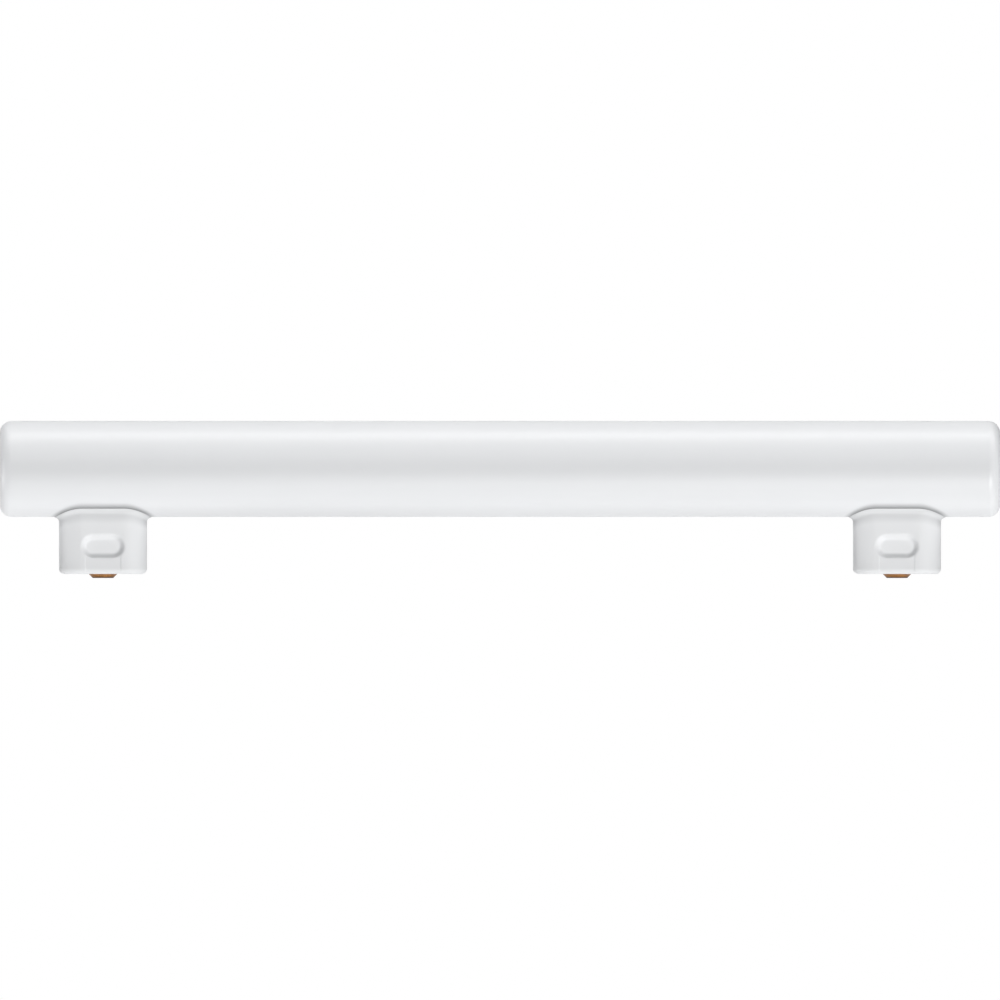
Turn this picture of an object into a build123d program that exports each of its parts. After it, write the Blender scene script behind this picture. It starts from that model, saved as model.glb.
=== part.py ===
from build123d import *
from math import radians, tan
import os

# A linear tubular lamp: a sealed opal tube carried by two oblong side caps.
# X runs along the tube, Y to the back and Z up. The origin is midway between
# the two contacts, on the plane that they stand on. All sizes are millimetres.

# Opal tube, closed at both ends
tube_length = 300.0
tube_diameter = 28.8
tube_end_radius = 3.5

# Side caps, hollow oblong mouldings, each set in from its end of the tube
cap_inset = 30.9
cap_length = 26.4
cap_width = 14.0
cap_drop = 17.1
cap_edge_bevel = 1.0
cap_wall = 3.0
cap_floor = 2.0

# Saddle lip, where a cap flares out to hug the tube
saddle_gap = 0.12
lip_end_reach = 1.35
lip_side_reach = 1.15
lip_fall = 1.0
lip_rim = 0.08
lip_trim = 0.3

# Retaining dimple in the front and back of a cap, where the holder's spring snaps in
dimple_centre = 8.25
dimple_length = 12.6
dimple_height = 6.8
dimple_depth = 1.4
dimple_slope = 45.0
dimple_ease_depth = 0.3
dimple_ease_slope = 70.0

# Lead-in channel, sunk in the wall from the cap's bottom edge up to the dimple
channel_width = 10.6
channel_depth = 0.15

# Contact, a turned rivet through the cap's floor
contact_stand = 1.2
contact_face_diameter = 6.2
contact_head_diameter = 8.6
shank_diameter = 4.0
shank_clearance = 0.1
collar_diameter = 6.0
collar_height = 0.9
solder_cup_depth = 0.7

# Lead wire from the contact's solder cup straight up to the tube
lead_diameter = 0.9
lead_clearance = 0.08

# Heights and places that follow from the sizes above
tube_radius = tube_diameter / 2
cap_bottom = contact_stand
floor_top = cap_bottom + cap_floor
collar_top = floor_top + collar_height
lead_foot = collar_top - solder_cup_depth
dimple_level = cap_bottom + dimple_centre
tube_underside = cap_bottom + cap_drop
tube_axis = tube_underside + tube_radius
cap_place = tube_length / 2 - cap_inset


def upright_oblong(length, width, bottom, top):
    """A round-ended oblong, long along the tube, standing from bottom to top."""
    return Pos(0, 0, bottom) * extrude(SlotOverall(length, width), top - bottom)


def upright_round(diameter, bottom, top):
    """A round bar on the cap's own axis, standing from bottom to top."""
    return Pos(0, 0, bottom) * extrude(Circle(diameter / 2), top - bottom)


def lying_round(radius, length):
    """A round bar on the tube's axis, with its surface seam along the top."""
    return Pos(0, 0, tube_axis) * Rot(0, -90, 0) * Cylinder(radius, length)


def front_and_back(piece):
    """A piece made for the front of a cap, with its twin for the back."""
    return piece + mirror(piece, about=Plane.XZ)


def lipped_block():
    """The outside of a cap: an oblong that flares into a thin lip along the tube."""
    oblong = upright_oblong(cap_length, cap_width, cap_bottom, tube_axis)
    saddle = lying_round(tube_radius + lip_rim, 2 * cap_length)
    joined = oblong + saddle

    seam = new_edges(oblong, saddle, combined=joined)
    tube_face = joined.faces().filter_by(GeomType.CYLINDER).sort_by(SortBy.AREA)[-1]
    flared = chamfer(seam, lip_end_reach + lip_trim, lip_fall, reference=tube_face)

    lip_length = cap_length + 2 * lip_end_reach
    lip_width = cap_width + 2 * lip_side_reach
    outline = upright_oblong(lip_length, lip_width, cap_bottom, tube_axis)
    block = (flared & outline) - lying_round(tube_radius + saddle_gap, 2 * cap_length)
    bottom_face = block.faces().sort_by(Axis.Z)[0]
    return chamfer(bottom_face.edges(), cap_edge_bevel)


def sunk_oblong(length, height, depth, slope):
    """A round-ended hollow for the front wall, narrower inwards, with its mouth at the wall's face."""
    mouth_plane = Plane((0, -cap_width / 2, dimple_level), x_dir=(1, 0, 0), z_dir=(0, 1, 0))
    return extrude(mouth_plane * SlotOverall(length, height), depth, taper=slope)


def retaining_dimple():
    """The front dimple, with its rim eased by a second, flatter hollow."""
    ease_spread = 2 * dimple_ease_depth * (tan(radians(dimple_ease_slope)) - tan(radians(dimple_slope)))
    eased_rim = sunk_oblong(
        dimple_length + ease_spread, dimple_height + ease_spread, dimple_ease_depth, dimple_ease_slope
    )
    return sunk_oblong(dimple_length, dimple_height, dimple_depth, dimple_slope) + eased_rim


def lead_in_channel():
    """The front channel: a shallow slot that starts at the cap's bottom and ends in the dimple."""
    height = dimple_centre
    return Pos(0, -cap_width / 2, cap_bottom + height / 2) * Box(channel_width, 2 * channel_depth, height)


def side_cap():
    """A hollow cap with its dimples, lead-in channels, contact hole and saddle mouth."""
    cavity = upright_oblong(cap_length - 2 * cap_wall, cap_width - 2 * cap_wall, floor_top, tube_axis)
    contact_hole = upright_round(shank_diameter + 2 * shank_clearance, 0, tube_axis)
    sunk_in_walls = front_and_back(lead_in_channel()) + front_and_back(retaining_dimple())
    return lipped_block() - sunk_in_walls - cavity - contact_hole


def contact():
    """A brass rivet: coned head below the cap, shank through its floor, clenched collar above."""
    half_profile = Polyline(
        (0, 0),
        (contact_face_diameter / 2, 0),
        (contact_head_diameter / 2, cap_bottom),
        (shank_diameter / 2, cap_bottom),
        (shank_diameter / 2, floor_top),
        (collar_diameter / 2, floor_top),
        (collar_diameter / 2, collar_top),
        (0, collar_top),
        close=True,
    )
    rivet = revolve(Plane.XZ * make_face(half_profile), Axis.Z)
    return rivet - upright_round(lead_diameter + 2 * lead_clearance, lead_foot, tube_axis)


def lead():
    """A stiff wire that rises from the solder cup to the tube's underside."""
    return upright_round(lead_diameter, lead_foot, tube_underside)


def opal_tube():
    """The sealed tube, its two ends flat with a rounded edge."""
    tube = lying_round(tube_radius, tube_length)
    return fillet(tube.edges().filter_by(GeomType.CIRCLE), tube_end_radius)


def both_ends(name, piece):
    """The right piece in its place on the tube, and its mirror image on the left."""
    right = Pos(cap_place, 0, 0) * piece
    return {f"right_{name}": right, f"left_{name}": mirror(right, about=Plane.YZ)}


nodes = {"opal_tube": opal_tube()}
nodes |= both_ends("cap", side_cap())
nodes |= both_ends("contact", contact())
nodes |= both_ends("lead", lead())

os.makedirs("parts", exist_ok=True)
for node, solid in nodes.items():
    export_step(solid, f"parts/{node}.step")
    print(node, round(solid.volume, 1), "mm3")
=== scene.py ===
# %% [markdown]
# # A tubular lamp on two side caps
#
# The lamp is a sealed opal tube, 300 mm long, which lies on two oblong caps of
# white plastic. Under each cap a brass contact presses on the holder's spring.
# The construction is already packed as a fixed model, and this lesson dresses
# it: every piece keeps the place and the size that the model gives it, and gets
# the soft edges and the finish that the plain solids lack.
#
# The model comes first, because every later step reads its places.

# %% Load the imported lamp
from math import cos, hypot, pi, radians, sin, sqrt

import bmesh
import bpy
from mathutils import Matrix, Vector


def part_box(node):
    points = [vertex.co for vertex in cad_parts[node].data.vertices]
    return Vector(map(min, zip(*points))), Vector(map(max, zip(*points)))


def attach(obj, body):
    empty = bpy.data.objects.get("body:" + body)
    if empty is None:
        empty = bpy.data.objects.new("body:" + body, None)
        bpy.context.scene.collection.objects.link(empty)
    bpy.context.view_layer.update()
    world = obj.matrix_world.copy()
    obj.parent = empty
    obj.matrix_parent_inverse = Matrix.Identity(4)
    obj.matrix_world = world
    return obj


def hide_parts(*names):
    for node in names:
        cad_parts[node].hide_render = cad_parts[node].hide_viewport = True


MM = 0.001
TINY = 0.01 * MM

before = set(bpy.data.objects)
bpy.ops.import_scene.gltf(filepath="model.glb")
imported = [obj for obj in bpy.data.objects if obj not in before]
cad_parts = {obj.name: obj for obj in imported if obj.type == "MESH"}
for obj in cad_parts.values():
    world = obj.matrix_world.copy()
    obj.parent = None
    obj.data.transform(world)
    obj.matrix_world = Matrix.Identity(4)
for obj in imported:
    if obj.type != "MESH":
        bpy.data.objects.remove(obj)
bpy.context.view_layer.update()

tube_low, tube_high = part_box("opal_tube")
tube_length = tube_high.x - tube_low.x
tube_radius = 14.4 * MM
tube_axis = tube_high.z - tube_radius

cap_low, cap_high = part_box("right_cap")
cap_place = (cap_low.x + cap_high.x) / 2
cap_bottom = cap_low.z

print("nodes:", ", ".join(sorted(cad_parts)))
print(f"tube {tube_length / MM:.1f} mm long, radius {tube_radius / MM:.2f} mm")
print(f"tube axis {tube_axis / MM:.2f} mm above the ground")
print(f"caps {cap_place / MM:.2f} mm from the middle, {cap_bottom / MM:.2f} mm above the ground")

# %% [markdown]
# ## The camera
#
# The lamp is seen square on, from the height of its own middle, with no
# perspective: both ends of the tube look straight and the contacts show no face.
# A very long lens would come close, but an orthographic camera gives it exactly.
# The tube fills the picture from side to side, so its length is the picture's
# width. The picture's middle lies a little below the tube's axis.

# %% Place the camera
picture_middle = 23.4 * MM
camera_distance = 1.0

bpy.ops.object.camera_add(location=(0, -camera_distance, picture_middle), rotation=(pi / 2, 0, 0))
camera = bpy.context.object
camera.name = "square_on_camera"
camera.data.type = "ORTHO"
camera.data.ortho_scale = tube_length

scene = bpy.context.scene
scene.camera = camera
scene.view_settings.view_transform = "Standard"
print(f"picture {camera.data.ortho_scale / MM:.0f} mm wide, middle {picture_middle / MM:.1f} mm up")

# %% [markdown]
# ## Working by hand, in code
#
# Each piece starts as a primitive and is shaped in edit mode. An operator acts
# on whatever is selected, so three small helpers do what a hand does with the
# mouse: they open a new piece with nothing else selected, pick its vertices,
# edges or faces by a test on their place, and close it again with smooth faces.

# %% Helpers for selecting
smooth_limit = radians(32)


def open_piece(name):
    """Names the primitive that was just added, applies its place and opens it in edit mode."""
    piece = bpy.context.object
    piece.name = name
    piece.data.name = name
    bpy.ops.object.transform_apply(location=True, rotation=True, scale=True)
    bpy.ops.object.mode_set(mode="EDIT")
    return piece


def pick(piece, kind, test):
    """Selects the elements of one kind, VERT, EDGE or FACE, whose corners all pass a test."""
    bpy.ops.mesh.select_mode(type=kind)
    bpy.ops.mesh.select_all(action="DESELECT")
    shape = bmesh.from_edit_mesh(piece.data)
    elements = {"VERT": shape.verts, "EDGE": shape.edges, "FACE": shape.faces}[kind]
    for element in elements:
        corners = [element] if kind == "VERT" else element.verts
        element.select_set(all(test(corner.co) for corner in corners))
    bmesh.update_edit_mesh(piece.data)


def close_piece(piece):
    """Merges doubles, turns the faces outwards and leaves edit mode with smooth faces."""
    bpy.ops.mesh.select_all(action="SELECT")
    bpy.ops.mesh.remove_doubles(threshold=TINY / 10)
    bpy.ops.mesh.normals_make_consistent(inside=False)
    bpy.ops.object.mode_set(mode="OBJECT")
    bpy.ops.object.shade_smooth_by_angle(angle=smooth_limit)
    print(piece.name, len(piece.data.polygons), "faces")


# %% [markdown]
# ## The opal tube
#
# The tube is one closed plastic bulb with flat ends and a soft rim. A lathe
# profile could be spun for it, but a cylinder already has the right form, so only
# its two rims need work: a bevel of the rim's true radius. A narrow inset round
# each end keeps the flat disc flat under smooth shading.

# %% Model the tube
tube_sides = 192
tube_end_radius = 3.5 * MM
tube_end_segments = 14
tube_end_inset = 0.4 * MM

bpy.ops.object.select_all(action="DESELECT")
bpy.ops.mesh.primitive_cylinder_add(
    vertices=tube_sides,
    radius=tube_radius,
    depth=tube_length,
    location=(0, 0, tube_axis),
    rotation=(0, pi / 2, 0),
)
tube = open_piece("opal_tube_body")

for end in (1, -1):
    pick(tube, "EDGE", lambda co: co.x * end > tube_length / 2 - TINY)
    bpy.ops.mesh.bevel(offset=tube_end_radius, segments=tube_end_segments, affect="EDGES")
pick(tube, "FACE", lambda co: abs(co.x) > tube_length / 2 - TINY)
bpy.ops.mesh.inset(thickness=tube_end_inset)
close_piece(tube)

# %% [markdown]
# ## The cap's section
#
# A cap is a hollow oblong moulding. Its wall has the same section all round: a
# flat bottom with a round edge, an upright wall, a cove that flares out into a thin
# lip along the tube, a saddle face against the tube, and the hollow inside. So the
# section is drawn once, as a line of vertices, and the oblong comes from carrying
# it round. The lip is drawn as if the tube were flat underneath. It is bent to the
# tube later.

# %% Set the section's sizes
cap_length = 26.4 * MM
cap_width = 14.0 * MM
cap_edge_radius = 1.6 * MM
cap_wall = 3.0 * MM
cap_floor = 2.0 * MM
saddle_gap = 0.12 * MM
lip_reach = 1.42 * MM
cove_radius = 1.4 * MM
rim_height = 0.05 * MM
rim_depth = 0.4 * MM
round_segments = 8
cove_segments = 16
wall_rows = 70
seat_rows = 8

cap_half = cap_width / 2
oblong_half = (cap_length - cap_width) / 2
hollow_half = cap_half - cap_wall
lip_half = cap_half + lip_reach
floor_top = cap_bottom + cap_floor
saddle_radius = tube_radius + saddle_gap
saddle_level = tube_axis - saddle_radius
rim_level = saddle_level - rim_height
cove_foot = rim_level - cove_radius

print(f"cap {cap_length / MM:.1f} by {cap_width / MM:.1f} mm, wall {cap_wall / MM:.1f} mm")

# %% [markdown]
# ## A line of vertices
#
# A profile could be drawn as a curve, but the bevel and the spin that follow need a
# mesh. So a small plane is merged to a point, and the point is extruded from corner
# to corner. A vertex bevel then rounds the corners that are round on the real piece.

# %% Helpers for drawing
def draw_line(corners):
    """Extrudes the selected vertex along corners, each a distance out from the middle and a height."""
    for (near, low), (far, high) in zip(corners, corners[1:]):
        step = (0, near - far, high - low)
        bpy.ops.mesh.extrude_vertices_move(TRANSFORM_OT_translate={"value": step})


def start_line(name, start):
    """A new piece that is one vertex, at a distance out from the middle and a height."""
    bpy.ops.object.select_all(action="DESELECT")
    bpy.ops.mesh.primitive_plane_add(size=MM, location=(0, -start[0], start[1]))
    piece = open_piece(name)
    bpy.ops.mesh.select_mode(type="VERT")
    bpy.ops.mesh.merge(type="CENTER")
    return piece


def round_corner(piece, corner, radius, segments):
    """Rounds the section's corner at a distance out from the middle and a height."""
    out, height = corner
    pick(piece, "VERT", lambda co: hypot(co.y + out, co.z - height) < TINY)
    bpy.ops.mesh.bevel(offset=radius, segments=segments, affect="VERTICES")


print("a line starts as one vertex and grows from corner to corner")

# %% [markdown]
# ## Draw the section
#
# The line starts in the middle of the cap's bottom, goes out and up the wall to the
# lip, and comes back inside, down to the floor. A bevel rounds the bottom corner and
# makes the cove, and the lip's rim is a quarter of an ellipse. The wall and the seat
# are divided finely, because later steps sink and bend them.

# %% Draw the section
def rim_point(share):
    """A point of the rim's round edge, from its outermost point to its top."""
    turn = share * pi / 2
    return lip_half - rim_depth * (1 - cos(turn)), rim_level + rim_height * sin(turn)


def on_wall(co):
    """Whether a point lies on the upright wall, between the bottom's round edge and the cove."""
    wall_bottom = cap_bottom + cap_edge_radius
    return co.y < TINY - cap_half and wall_bottom - TINY < co.z < cove_foot + TINY


bottom_corner = (cap_half, cap_bottom)
cove_corner = (cap_half, rim_level)
rim = [rim_point(step / round_segments) for step in range(round_segments + 1)]
hollow = [(hollow_half, saddle_level), (hollow_half, floor_top), (0, floor_top)]
section = [(0, cap_bottom), bottom_corner, cove_corner, *rim, *hollow]

cap = start_line("side_cap", section[0])
draw_line(section)
round_corner(cap, bottom_corner, cap_edge_radius, round_segments)
round_corner(cap, cove_corner, cove_radius, cove_segments)

pick(cap, "EDGE", on_wall)
bpy.ops.mesh.subdivide(number_cuts=wall_rows - 1)
pick(cap, "EDGE", lambda co: co.z > saddle_level - TINY)
bpy.ops.mesh.subdivide(number_cuts=seat_rows - 1)
print("section of", len(bmesh.from_edit_mesh(cap.data).verts), "vertices")

# %% [markdown]
# ## A quarter of the oblong
#
# The cap is alike left and right and front and back, so only a quarter of it is
# modelled: the section is extruded along the straight front and spun a quarter
# turn round the end. The straight run goes in short steps, because the dimple needs
# a fine grid of faces to sink into. Spin turns clockwise from above for a positive
# angle, so the angle here is negative.

# %% Carry the section round
run_steps = 40
turn_steps = 48
run_step = oblong_half / run_steps

bpy.ops.mesh.select_all(action="SELECT")
for step in range(run_steps):
    bpy.ops.mesh.extrude_region_move(TRANSFORM_OT_translate={"value": (run_step, 0, 0)})
bpy.ops.mesh.spin(steps=turn_steps, angle=-pi / 2, center=(oblong_half, 0, 0), axis=(0, 0, 1))
close_piece(cap)

# %% [markdown]
# ## Move each vertex by its own amount
#
# Two steps below move the cap's vertices, each by an amount of its own. Proportional
# editing would do that by eye. A Displace modifier does it by number: the amounts
# are the weights of a vertex group, and the modifier reads them.

# %% Helpers for moving vertices
def displace(piece, name, direction, amount):
    """Moves each vertex along X, Y or Z by its own amount."""
    amounts = [amount(vertex.co) for vertex in piece.data.vertices]
    largest = max(amounts)
    group = piece.vertex_groups.new(name=name)
    for vertex, distance in zip(piece.data.vertices, amounts):
        group.add([vertex.index], distance / largest, "REPLACE")
    push = piece.modifiers.new(name, "DISPLACE")
    push.direction = direction
    push.mid_level = 0
    push.strength = largest
    push.vertex_group = name
    bpy.ops.object.modifier_apply(modifier=push.name)
    piece.vertex_groups.clear()
    print(f"{name}: up to {largest / MM:.2f} mm")


def ramp(value, start, end):
    """0 before start, 1 after end and straight between them."""
    return min(max((value - start) / (end - start), 0), 1)


print("vertices move along one axis, by the weights of a group")

# %% [markdown]
# ## Bend the lip to the tube
#
# The lip has to follow the tube: low at the cap's two ends, where it meets the
# tube's underside, and higher along the front and back, where the tube curves up.
# A boolean cut would leave a ragged seam, so the whole upper part of the cap is
# lifted instead, each vertex by as much as the tube has risen above it.
#
# Where the tube slopes away, the corner between wall and tube is wider, and a cove
# of the same roundness climbs less of the wall. So along the front the cove is also
# pressed together towards the tube, which fades to nothing at the ends.

# %% Lift the saddle
front_squeeze = 0.41


def outside_oblong(co):
    """How far a point lies outside the cap's oblong outline."""
    return hypot(max(co.x - oblong_half, 0), co.y) - cap_half


def frontness(co):
    """1 along the straight front, falling to 0 at the middle of the end."""
    return (co.y / (cap_half + outside_oblong(co))) ** 2 if co.y < 0 else 0


def saddle_lift(co):
    """The tube's rise above its lowest line, and what the cove is pressed together."""
    rise = saddle_radius - sqrt(saddle_radius**2 - co.y**2)
    depth = min(saddle_level - co.z, saddle_level - cove_foot)
    squeeze = front_squeeze * depth * frontness(co)
    return (rise + squeeze) * ramp(co.z, floor_top, cove_foot)


displace(cap, "saddle_lift", "Z", saddle_lift)

# %% [markdown]
# ## The dimple and its lead-in channel
#
# A holder's spring snaps into a soft oblong dimple in the cap's front and back. Its
# flank is an even S: round at the brim, steep halfway and hollow at the floor. It
# could be cut out and bevelled, but that leaves hard lines in what is one smooth
# hollow, so the wall's fine grid is pushed in, by its distance from the dimple's
# middle line. The shallow channel below it leads the spring up to the dimple.

# %% Sink the dimple and the channel
dimple_centre = 8.25 * MM
dimple_depth = 1.4 * MM
dimple_core_half = 2.9 * MM
dimple_floor = 1.7 * MM
dimple_brim = 4.1 * MM
channel_half = 5.3 * MM
channel_depth = 0.15 * MM
channel_edge = 0.25 * MM
channel_fade = 0.8 * MM

dimple_level = cap_bottom + dimple_centre


def s_curve(share):
    """Rises from 0 to 1 with level ends."""
    return share**3 * (share * (share * 6 - 15) + 10)


def dimple_and_channel(co):
    """How far the outside of the wall is sunk at a point."""
    if co.y > -hollow_half - TINY:
        return 0
    from_core = hypot(max(co.x - dimple_core_half, 0), co.z - dimple_level)
    dimple = dimple_depth * s_curve(ramp(from_core, dimple_brim, dimple_floor))
    across = ramp(co.x, channel_half + channel_edge / 2, channel_half - channel_edge / 2)
    upward = ramp(co.z, cap_bottom, cap_bottom + channel_fade)
    to_dimple = ramp(co.z, dimple_level, dimple_level - dimple_floor)
    return max(dimple, channel_depth * across * upward * to_dimple)


displace(cap, "dimple_and_channel", "Y", dimple_and_channel)

# %% [markdown]
# ## The whole cap, and its twin
#
# The quarter becomes a whole by modifiers, which are applied at once, so that what
# follows works on a plain mesh. A piece that the lamp has twice is modelled once, in
# the middle, and copied to the two places on the tube, each copy with its own mesh.

# %% Helpers for modifiers and twins
def apply_modifier(piece, kind, settings):
    """Adds a modifier with its settings and applies it."""
    modifier = piece.modifiers.new(kind.lower(), kind)
    for name, value in settings.items():
        setattr(modifier, name, value)
    bpy.context.view_layer.objects.active = piece
    bpy.ops.object.modifier_apply(modifier=modifier.name)


def place_twins(piece, name):
    """Makes a left and a right copy of a piece at the caps' places and deletes the pattern."""
    twins = {}
    for side, place in (("left", -cap_place), ("right", cap_place)):
        bpy.ops.object.select_all(action="DESELECT")
        piece.select_set(True)
        bpy.context.view_layer.objects.active = piece
        bpy.ops.object.duplicate()
        twin = bpy.context.object
        twin.name = f"{side}_{name}"
        twin.data.name = twin.name
        bpy.ops.transform.translate(value=(place, 0, 0))
        bpy.ops.object.transform_apply(location=True, rotation=True, scale=True)
        twins[side] = twin
        print(twin.name, len(twin.data.polygons), "faces")
    bpy.data.objects.remove(piece)
    return twins


print(f"twins stand {2 * cap_place / MM:.1f} mm apart")

# %% [markdown]
# ## Mirror and drill the cap
#
# A mirror across both axes makes four quarters of the one. The contact's shank
# passes through the floor, so a round hole is cut there by a Boolean modifier. The
# floor is flat, so the cut is clean.

# %% Finish the caps
hole_radius = 2.1 * MM
hole_sides = 96

apply_modifier(cap, "MIRROR", {"use_axis": (True, True, False), "merge_threshold": TINY / 10})

bpy.ops.object.select_all(action="DESELECT")
bpy.ops.mesh.primitive_cylinder_add(
    vertices=hole_sides,
    radius=hole_radius,
    depth=2 * cap_floor,
    location=(0, 0, cap_bottom + cap_floor / 2),
)
drill = bpy.context.object
apply_modifier(cap, "BOOLEAN", {"operation": "DIFFERENCE", "object": drill, "solver": "EXACT"})
bpy.data.objects.remove(drill)

bpy.ops.object.select_all(action="DESELECT")
cap.select_set(True)
bpy.ops.object.shade_smooth_by_angle(angle=smooth_limit)
print("cap", [round(side / MM, 2) for side in cap.dimensions], "mm")
caps = place_twins(cap, "side_cap")

# %% [markdown]
# ## The contacts
#
# A contact is a brass rivet, turned on a lathe: a coned head below the cap, a
# shank through its floor, a clenched collar above, and a small cup for the lead.
# The natural way is the lathe's own: draw half the profile and spin it. The corners
# that a tool or a thumb would break get a small bevel.

# %% Spin the contacts
face_radius = 3.1 * MM
head_radius = 4.3 * MM
shank_radius = 2.0 * MM
collar_radius = 3.0 * MM
collar_height = 0.9 * MM
cup_radius = 0.53 * MM
cup_depth = 0.7 * MM
face_break = 0.08 * MM
head_break = 0.12 * MM
collar_break = 0.25 * MM
lathe_steps = 96

collar_top = floor_top + collar_height
cup_floor = collar_top - cup_depth
face_corner = (face_radius, 0)
head_corner = (head_radius, cap_bottom)
collar_corner = (collar_radius, collar_top)
profile = [
    (0, 0),
    face_corner,
    head_corner,
    (shank_radius, cap_bottom),
    (shank_radius, floor_top),
    (collar_radius, floor_top),
    collar_corner,
    (cup_radius, collar_top),
    (cup_radius, cup_floor),
    (0, cup_floor),
]
contact = start_line("contact", profile[0])
draw_line(profile)
round_corner(contact, face_corner, face_break, round_segments)
round_corner(contact, head_corner, head_break, round_segments)
round_corner(contact, collar_corner, collar_break, round_segments)
bpy.ops.mesh.select_all(action="SELECT")
bpy.ops.mesh.spin(steps=lathe_steps, angle=2 * pi, center=(0, 0, 0), axis=(0, 0, 1))
close_piece(contact)
contacts = place_twins(contact, "brass_contact")

# %% [markdown]
# ## Shader sums in plain Python
#
# A finish needs a few sums: a streak plus a mottle, a distance from an axis. As
# Math nodes they are long to write and hard to read. So one small class holds a
# socket, and Python's own operators on it add the Math nodes. Every other node
# comes from its one method, which sets the node's settings first, because they
# can change which sockets the node has.

# %% A socket that can be reckoned with
class Wire:
    """A socket of a node tree that can stand in plain sums."""

    def __init__(self, tree, socket=None):
        self.tree = tree
        self.socket = socket

    def node(self, kind, settings, sockets, output=0):
        """Adds a node: first its settings, then the values or the wires of its sockets."""
        made = self.tree.nodes.new(kind)
        for name, value in settings.items():
            setattr(made, name, value)
        for name, value in sockets.items():
            if isinstance(value, Wire):
                self.tree.links.new(value.socket, made.inputs[name])
            else:
                made.inputs[name].default_value = value
        return Wire(self.tree, made.outputs[output] if made.outputs else None)

    def math(self, operation, *values):
        return self.node("ShaderNodeMath", {"operation": operation}, dict(enumerate(values)))

    def __add__(self, other):
        return self.math("ADD", self, other)

    def __sub__(self, other):
        return self.math("SUBTRACT", self, other)

    def __rsub__(self, other):
        return self.math("SUBTRACT", other, self)

    def __mul__(self, other):
        return self.math("MULTIPLY", self, other)

    def __pow__(self, other):
        return self.math("POWER", self, other)

    def __abs__(self):
        return self.math("ABSOLUTE", self)

    __radd__ = __add__
    __rmul__ = __mul__


print("sums of wires become Math nodes")

# %% [markdown]
# ## What the finishes share
#
# Each finish starts from a point's place on the object, in metres, so that a
# pattern keeps its true size on every piece. From there a finish is made of a few
# things: soft noise, a place stretched along an axis, a fade by distance, a blend
# of two colours and a fine relief. Image textures could carry all this, but sums
# stay sharp at any distance.

# %% Helpers for finishes
def new_finish(name):
    """An empty material, and a wire that carries a point's place on the object."""
    material = bpy.data.materials.new(name)
    material.use_nodes = True
    material.node_tree.nodes.clear()
    place = Wire(material.node_tree).node("ShaderNodeTexCoord", {}, {}, "Object")
    return material, place


def noise(place, size, detail):
    """Soft random spots of about one size."""
    return place.node("ShaderNodeTexNoise", {}, {"Vector": place, "Scale": 1 / size, "Detail": detail})


def stretch(place, along_x, along_y, along_z):
    """The place, stretched so that a pattern on it is drawn out along the axes."""
    scale = (1 / along_x, 1 / along_y, 1 / along_z)
    return place.node("ShaderNodeMapping", {}, {"Vector": place, "Scale": scale})


def along(place, axis):
    """How far a point lies along X, Y or Z."""
    return place.node("ShaderNodeSeparateXYZ", {}, {"Vector": place}, axis)


def fade(value, start, end):
    """1 up to start, 0 from end on, and a soft fall between them."""
    soft = {"interpolation_type": "SMOOTHSTEP"}
    limits = {"From Min": start, "From Max": end, "To Min": 1, "To Max": 0}
    return value.node("ShaderNodeMapRange", soft, {"Value": value, **limits})


def tint(colour):
    """A colour as a socket takes it: a wire as it is, three numbers with full cover."""
    return colour if isinstance(colour, Wire) else (*colour, 1)


def blend(share, first, second):
    """A colour between two colours."""
    sockets = {0: share, 6: tint(first), 7: tint(second)}
    return share.node("ShaderNodeMix", {"data_type": "RGBA"}, sockets, 2)


def relief(height, depth, strength):
    """A normal that a fine relief of one depth gives."""
    sockets = {"Height": height, "Distance": depth, "Strength": strength}
    return height.node("ShaderNodeBump", {}, sockets)


def surface(place, sockets):
    """Ends a finish with its shader."""
    shader = place.node("ShaderNodeBsdfPrincipled", {}, sockets)
    place.node("ShaderNodeOutputMaterial", {}, {"Surface": shader})


print("patterns are measured in metres on the object")

# %% [markdown]
# ## The tube's finish
#
# The tube is opal plastic, drawn through a die: satin, with a grain too fine to
# see as spots, a faint cloudiness, and the faintest streaks along its length.
#
# Where a cap's lip ends on it, a soft dark arc is painted on the tube above each
# cap: painted shade for the crease between lip and tube. It is a mask on the tube's
# colour, by the distance from the lip.

# %% Make the opal satin
opal_cool = (0.772, 0.783, 0.798)
opal_pale = (0.8, 0.808, 0.82)
opal_roughness = 0.36
# Painted shade: a grey mask darkens the tube in the crease above each cap's lip.
seam_shade_grey = (0.06, 0.06, 0.065)
seam_shade_spread = 2.1 * MM
seam_shade_cover = 0.58
seam_shade_lost_at_tips = 0.65


def painted_seam_shade(place):
    """How much painted shade darkens the tube: most at the lips of the caps, less around them."""
    past_middle = place.math("MAXIMUM", abs(abs(along(place, "X")) - cap_place) - oblong_half, 0)
    from_lip = (past_middle**2 + along(place, "Y") ** 2) ** 0.5 - lip_half
    underneath = place.math("LESS_THAN", along(place, "Z"), tube_axis)
    at_tips = fade(abs(along(place, "Y")), 0, cap_half)
    kept = 1 - at_tips * seam_shade_lost_at_tips
    return fade(from_lip, 0, seam_shade_spread) * underneath * kept * seam_shade_cover


def opal_satin():
    """Cool white plastic with a satin skin, and painted shade beside the caps."""
    material, place = new_finish("opal_satin")
    cloud = noise(place, 16 * MM, 3)
    streak = noise(stretch(place, 60, 1, 1), 1.2 * MM, 2)
    grain = noise(place, 0.35 * MM, 2)
    opal = blend(cloud * 0.6 + streak * 0.4, opal_cool, opal_pale)
    surface(place, {
        # The base colour carries the painted shade above each cap's lip.
        "Base Color": blend(painted_seam_shade(place), opal, seam_shade_grey),
        "Roughness": streak * 0.06 + cloud * 0.06 + opal_roughness,
        "Normal": relief(grain + streak * 0.5, 0.01 * MM, 0.25),
    })
    return material


tube_finish = opal_satin()
print("tube:", tube_finish.name)
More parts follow.
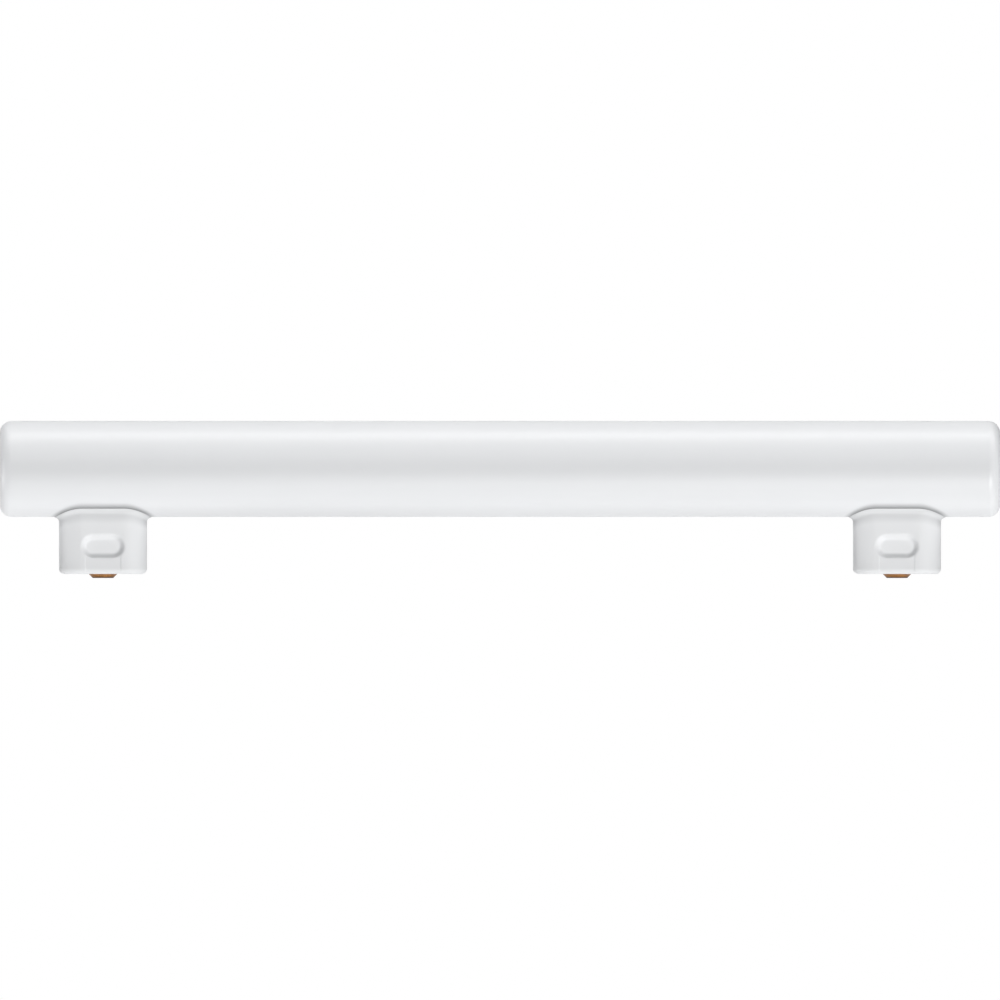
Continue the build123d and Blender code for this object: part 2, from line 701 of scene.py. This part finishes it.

# %% [markdown]
# ## The caps' finish
#
# The caps are moulded in a finely matt tool, so they are duller than the tube and
# have no direction. Both are nearly white, so what tells them apart is the grain
# and the gloss. Under the caps' lips, and most round their ends, the colour is
# greyed: painted shade where the tube overhangs the cap. It is a mask as well, by
# the distance below the tube.

# %% Make the moulded white
mould_cool = (0.86, 0.869, 0.88)
mould_pale = (0.886, 0.894, 0.903)
mould_roughness = 0.48
# Painted shade: a grey mask darkens each cap under its lip and round its ends.
lip_shade_grey = (0.36, 0.365, 0.375)
lip_shade_start = 1.4 * MM
lip_shade_end = 4.1 * MM
lip_shade_cover = 0.27
lip_shade_at_ends = 0.2


def painted_lip_shade(place):
    """How much painted shade greys a cap: most under its lip and round its ends."""
    tube_skin = (tube_radius**2 - along(place, "Y") ** 2) ** 0.5
    below_tube = tube_axis - along(place, "Z") - tube_skin
    at_ends = fade(abs(along(place, "Y")), 0, cap_half)
    return fade(below_tube, lip_shade_start, lip_shade_end) * (at_ends * lip_shade_at_ends + lip_shade_cover)


def moulded_white():
    """White plastic from a finely matt mould."""
    material, place = new_finish("moulded_white")
    cloud = noise(place, 9 * MM, 3)
    grain = noise(place, 0.22 * MM, 3)
    white = blend(cloud * 0.7 + grain * 0.3, mould_cool, mould_pale)
    surface(place, {
        # The base colour carries the painted shade under the lip.
        "Base Color": blend(painted_lip_shade(place), white, lip_shade_grey),
        "Roughness": cloud * 0.08 + grain * 0.06 + mould_roughness,
        "Specular IOR Level": 0.4,
        "Normal": relief(grain, 0.015 * MM, 0.3),
    })
    return material


cap_finish = moulded_white()
print("caps:", cap_finish.name)

# %% [markdown]
# ## The contacts' finish
#
# The contacts are turned, so their marks are rings round each contact's own axis: a
# sine of the distance from it. A Wave texture has rings too, but round one centre
# only, and there are two contacts. Bare brass dulls in clouds. The lowest part of
# each contact, round the face that presses on the spring, is painted darker:
# painted shade on its down-facing edge.

# %% Make the turned brass
brass_dull = (0.215, 0.104, 0.036)
brass_bare = (0.3, 0.144, 0.052)
brass_roughness = 0.28
turning_pitch = 0.12 * MM
# Painted shade: a dark brown mask darkens the lowest part of each contact.
underside_shade_brown = (0.045, 0.025, 0.012)
underside_shade_reach = 0.25 * MM
underside_shade_cover = 0.8


def turned_brass():
    """Bare brass with turning marks round each contact's axis, dulled in clouds, with painted shade low
    down.
    """
    material, place = new_finish("turned_brass")
    from_axis = ((abs(along(place, "X")) - cap_place) ** 2 + along(place, "Y") ** 2) ** 0.5
    turns = (from_axis + along(place, "Z")) * (2 * pi / turning_pitch)
    rings = place.math("SINE", turns) * 0.5 + 0.5
    cloud = noise(place, 1.6 * MM, 4)
    brass = blend(cloud * 0.8 + rings * 0.2, brass_dull, brass_bare)
    # Painted shade on the contact's lowest edge, which also roughens it.
    painted_underside_shade = fade(along(place, "Z") + cloud * underside_shade_reach, underside_shade_reach, 3 * underside_shade_reach)
    surface(place, {
        "Base Color": blend(painted_underside_shade * underside_shade_cover, brass, underside_shade_brown),
        "Metallic": 1.0,
        "Roughness": cloud * 0.16 + rings * 0.06 + painted_underside_shade * 0.15 + brass_roughness,
        "Normal": relief(rings + cloud, 0.01 * MM, 0.3),
    })
    return material


contact_finish = turned_brass()
print("contacts:", contact_finish.name)

# %% [markdown]
# ## The leads' finish
#
# The leads inside the caps are drawn wire with a coat of tin: grey, with fine lines
# along their length. They stand upright, so the noise is drawn out along Z.

# %% Make the tinned wire
tin_dull = (0.62, 0.6, 0.56)
tin_bright = (0.78, 0.77, 0.74)
tin_roughness = 0.3


def tinned_wire():
    """Grey tin on a drawn wire."""
    material, place = new_finish("tinned_wire")
    drawn = noise(stretch(place, 1, 1, 12), 0.25 * MM, 3)
    surface(place, {
        "Base Color": blend(drawn, tin_dull, tin_bright),
        "Metallic": 1.0,
        "Roughness": drawn * 0.2 + tin_roughness,
        "Normal": relief(drawn, 0.02 * MM, 0.4),
    })
    return material


lead_finish = tinned_wire()
print("leads:", lead_finish.name)

# %% [markdown]
# ## Dress the model
#
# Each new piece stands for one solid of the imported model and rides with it. The
# lamp has no moving part, so all of it is one body. The leads are plain wires, and
# the model's own are already right, so they only get their finish.

# %% Dress the pieces
def dress(piece, node, material):
    """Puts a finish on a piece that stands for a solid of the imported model."""
    piece.data.materials.clear()
    piece.data.materials.append(material)
    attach(piece, "root")
    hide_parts(node)


dress(tube, "opal_tube", tube_finish)
for side in ("left", "right"):
    dress(caps[side], f"{side}_cap", cap_finish)
    dress(contacts[side], f"{side}_contact", contact_finish)
    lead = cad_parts[f"{side}_lead"]
    lead.data.materials.clear()
    lead.data.materials.append(lead_finish)
    print(side, "cap, contact and lead dressed")

# %% [markdown]
# ## The floor
#
# The lamp is shown on plain white. The floor takes its shadow, and gives a white of
# its own to the rays that show it: the camera's, and those of what mirrors it or
# passes it on. It gives less near the lamp, where it is lit, and more further out.
# From below it is clear, so that the contacts can be looked at.

# %% Lay the floor
floor_size = 8.0
floor_level = -2 * TINY
floor_albedo = 0.35
floor_mottle = 0.01
floor_glow = 0.75
lit_reach = 0.3
dim_reach = 1.6


def ray_is_seen(start):
    """1 for the rays that show the stage itself: the camera's, a mirror's and a glass's."""
    kinds = ("Is Camera Ray", "Is Glossy Ray", "Is Transmission Ray")
    rays = [start.node("ShaderNodeLightPath", {}, {}, kind) for kind in kinds]
    camera_ray, glossy_ray, glass_ray = rays
    return start.math("MAXIMUM", camera_ray, start.math("MAXIMUM", glossy_ray, glass_ray))


def pale_floor():
    """A matt floor that glows white where it is seen, and is clear from below."""
    material, place = new_finish("pale_floor")
    speck = noise(place, 3 * MM, 2)
    tone = blend(speck, (floor_albedo - floor_mottle,) * 3, (floor_albedo + floor_mottle,) * 3)
    from_lamp = (along(place, "X") ** 2 + along(place, "Y") ** 2) ** 0.5
    white = blend(fade(from_lamp, lit_reach, dim_reach), (1, 1, 1), (floor_glow,) * 3)
    matt = place.node("ShaderNodeBsdfDiffuse", {}, {"Color": tone})
    glow = place.node("ShaderNodeEmission", {}, {"Color": white})
    lit = place.node("ShaderNodeAddShader", {}, {0: matt, 1: glow})
    shown = place.node("ShaderNodeMixShader", {}, {"Fac": ray_is_seen(place), 1: matt, 2: lit})
    from_below = place.node("ShaderNodeNewGeometry", {}, {}, "Backfacing")
    clear = place.node("ShaderNodeBsdfTransparent", {}, {})
    sheet = place.node("ShaderNodeMixShader", {}, {"Fac": from_below, 1: shown, 2: clear})
    place.node("ShaderNodeOutputMaterial", {}, {"Surface": sheet})
    return material


def stage_sheet(name, size, place, turn, material):
    """A flat sheet that belongs to the stage. The lamps shine through it."""
    bpy.ops.object.select_all(action="DESELECT")
    bpy.ops.mesh.primitive_plane_add(size=size, location=place, rotation=turn)
    sheet = bpy.context.object
    sheet.name = name
    sheet.data.materials.append(material)
    sheet.visible_shadow = False
    return sheet


stage_sheet("pale_floor", floor_size, (0, 0, floor_level), (0, 0, 0), pale_floor())
print(f"floor {floor_size:.0f} m across")

# %% [markdown]
# ## The black cloth
#
# A white thing on white loses its edges. A photographer hangs a black cloth behind
# it: it keeps the light off from there, so the faces that turn away from the camera
# fall off a little. The camera doesn't see the cloth.

# %% Hang the cloth
cloth_size = 6.0
cloth_behind = 1.0
cloth_black = (0.02, 0.02, 0.02)
cloth_worn = (0.03, 0.03, 0.03)


def black_cloth():
    """Cloth that gives almost no light back."""
    material, place = new_finish("black_cloth")
    nap = noise(place, 2 * MM, 2)
    matt = place.node("ShaderNodeBsdfDiffuse", {}, {"Color": blend(nap, cloth_black, cloth_worn)})
    place.node("ShaderNodeOutputMaterial", {}, {"Surface": matt})
    return material


cloth_place = (0, cloth_behind, cloth_size / 2)
cloth = stage_sheet("black_cloth", cloth_size, cloth_place, (pi / 2, 0, 0), black_cloth())
cloth.visible_camera = False
print(f"cloth {cloth_behind:.0f} m behind the lamp")

# %% [markdown]
# ## The white room
#
# The room is white to the same rays as the floor, but it lights the lamp much less,
# so that the form does not wash out. A weaker world alone would turn the picture's
# background grey, so the strength depends on the kind of ray.

# %% Light the room
room_level = 0.27

room = bpy.data.worlds.new("white_room")
room.use_nodes = True
room.node_tree.nodes.clear()
scene.world = room
room_start = Wire(room.node_tree)
room_strength = ray_is_seen(room_start) * (1 - room_level) + room_level
room_sockets = {"Strength": room_strength, "Color": (1, 1, 1, 1)}
room_light = room_start.node("ShaderNodeBackground", {}, room_sockets)
room_start.node("ShaderNodeOutputWorld", {}, {"Surface": room_light})
print(f"room seen at 1, lights at {room_level}")

# %% [markdown]
# ## The lamps
#
# The tube is brightest in two bands, high and low, and darker along its middle. So
# long strips hang above it and high behind it, and one lies below it, under the
# floor, which lets light through like a light table. Two soft boxes lie under the
# floor as well. The strong one, at the lower right, leaves the lower and the right
# flank of each dimple dark. The weak one keeps the caps' left ends from going grey.
# All turn to the lamp's middle.
#
# The back would be left in the dark, so a last box stands behind, level with the
# tube: from there it reaches nothing that faces the front. It is kept out of the
# gloss, or it would draw a bright line along the tube's upper and lower edge.
#
# A ray that meets a lamp by chance would be stopped by the floor on its way to one
# below, so that way of finding a lamp is only on for those that hang above.

# %% Hang the lamps
def soft_box(name, azimuth, elevation, distance, width, height, power):
    """A soft box seen from the lamp at an azimuth from the front, and an elevation, in degrees."""
    turn = radians(azimuth)
    rise = radians(elevation)
    away = Vector((sin(turn) * cos(rise), -cos(turn) * cos(rise), sin(rise)))
    bpy.ops.object.select_all(action="DESELECT")
    bpy.ops.object.light_add(type="AREA", location=Vector((0, 0, tube_axis)) + away * distance)
    box = bpy.context.object
    box.name = name
    box.rotation_euler = away.to_track_quat("Z", "Y").to_euler()
    box.data.shape = "RECTANGLE"
    box.data.size = width
    box.data.size_y = height
    box.data.energy = power
    box.data.cycles.use_multiple_importance_sampling = elevation > 0
    box.visible_camera = False
    print(name, power, "W")
    return box


soft_box("overhead_strip", azimuth=0, elevation=89, distance=0.9, width=2.0, height=0.3, power=11.2)
soft_box("back_strip", azimuth=180, elevation=60, distance=0.9, width=2.0, height=0.3, power=1.5)
soft_box("table_strip", azimuth=180, elevation=-85, distance=0.9, width=2.0, height=0.3, power=2.4)
soft_box("table_key", azimuth=26, elevation=-31, distance=8.0, width=2.4, height=2.4, power=426)
soft_box("table_left", azimuth=-95, elevation=-10, distance=2.4, width=0.35, height=0.35, power=15)
back_box = soft_box("back_box", azimuth=180, elevation=0, distance=4.0, width=0.6, height=0.6, power=36)
back_box.visible_glossy = False
